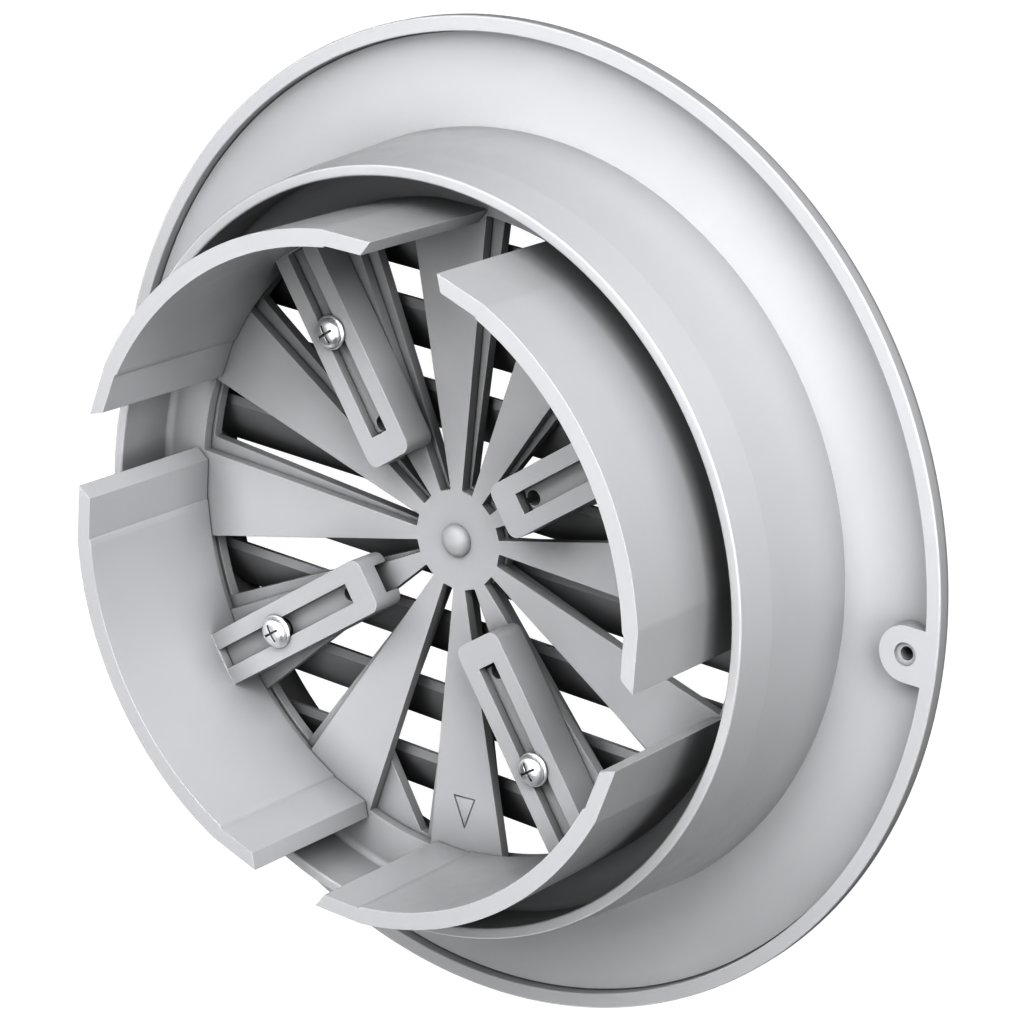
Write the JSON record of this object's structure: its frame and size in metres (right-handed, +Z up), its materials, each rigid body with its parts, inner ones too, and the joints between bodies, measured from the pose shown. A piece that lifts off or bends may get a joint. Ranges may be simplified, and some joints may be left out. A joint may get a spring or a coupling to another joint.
{
  "type": "ceiling air diffuser",
  "caption": "Round ceiling air diffuser: dished flange, drafted neck, sliding jaws that grip the duct, a radial shutter disc and a slatted front grille.",
  "frame": {"origin": "middle of the flat front, on the surface that the diffuser lies on", "axes": "+Z up the duct, along the common axis of neck, rivet and shutter; +X along the arm of the first jaw"},
  "size_m": [0.2032, 0.2032, 0.0565],
  "materials": {
    "body_plastic": "satin light grey moulded plastic",
    "jaw_plastic": "satin light grey moulded plastic",
    "shutter_plastic": "satin light grey moulded plastic",
    "grille_plastic": "satin light grey moulded plastic",
    "zinc_steel": "bright zinc plated"
  },
  "bodies": {
    "frame": {"flange_housing": "body_plastic", "spider_plate": "body_plastic", "pivot_rivet": "body_plastic", "rivet_washer": "zinc_steel", "clamp_screw_1": "zinc_steel", "clamp_screw_2": "zinc_steel", "clamp_screw_3": "zinc_steel", "clamp_screw_4": "zinc_steel", "grille_ring": "grille_plastic", "louver_slat_1": "grille_plastic", "louver_slat_2": "grille_plastic", "louver_slat_3": "grille_plastic", "louver_slat_4": "grille_plastic", "louver_slat_5": "grille_plastic", "louver_slat_6": "grille_plastic", "louver_slat_7": "grille_plastic", "louver_slat_8": "grille_plastic", "louver_slat_9": "grille_plastic"},
    "jaw_1": {"collar_jaw_1": "jaw_plastic"},
    "jaw_2": {"collar_jaw_2": "jaw_plastic"},
    "jaw_3": {"collar_jaw_3": "jaw_plastic"},
    "jaw_4": {"collar_jaw_4": "jaw_plastic"},
    "shutter": {"shutter_disc": "shutter_plastic"}
  },
  "joints": [
    {"name": "jaw_1_slide", "type": "slide", "parent": "frame", "child": "jaw_1", "axis": [1, 0, 0], "range_m": [-0.01, 0.0045]},
    {"name": "jaw_2_slide", "type": "slide", "parent": "frame", "child": "jaw_2", "axis": [0, 1, 0], "range_m": [-0.01, 0.0045]},
    {"name": "jaw_3_slide", "type": "slide", "parent": "frame", "child": "jaw_3", "axis": [-1, 0, 0], "range_m": [-0.01, 0.0045]},
    {"name": "jaw_4_slide", "type": "slide", "parent": "frame", "child": "jaw_4", "axis": [0, -1, 0], "range_m": [-0.01, 0.0045]},
    {"name": "shutter_turn", "type": "hinge", "parent": "frame", "child": "shutter", "pos_m": [0, 0, 0.01685], "axis": [0, 0, 1], "range_deg": [-12.7, 2.3]}
  ]
}
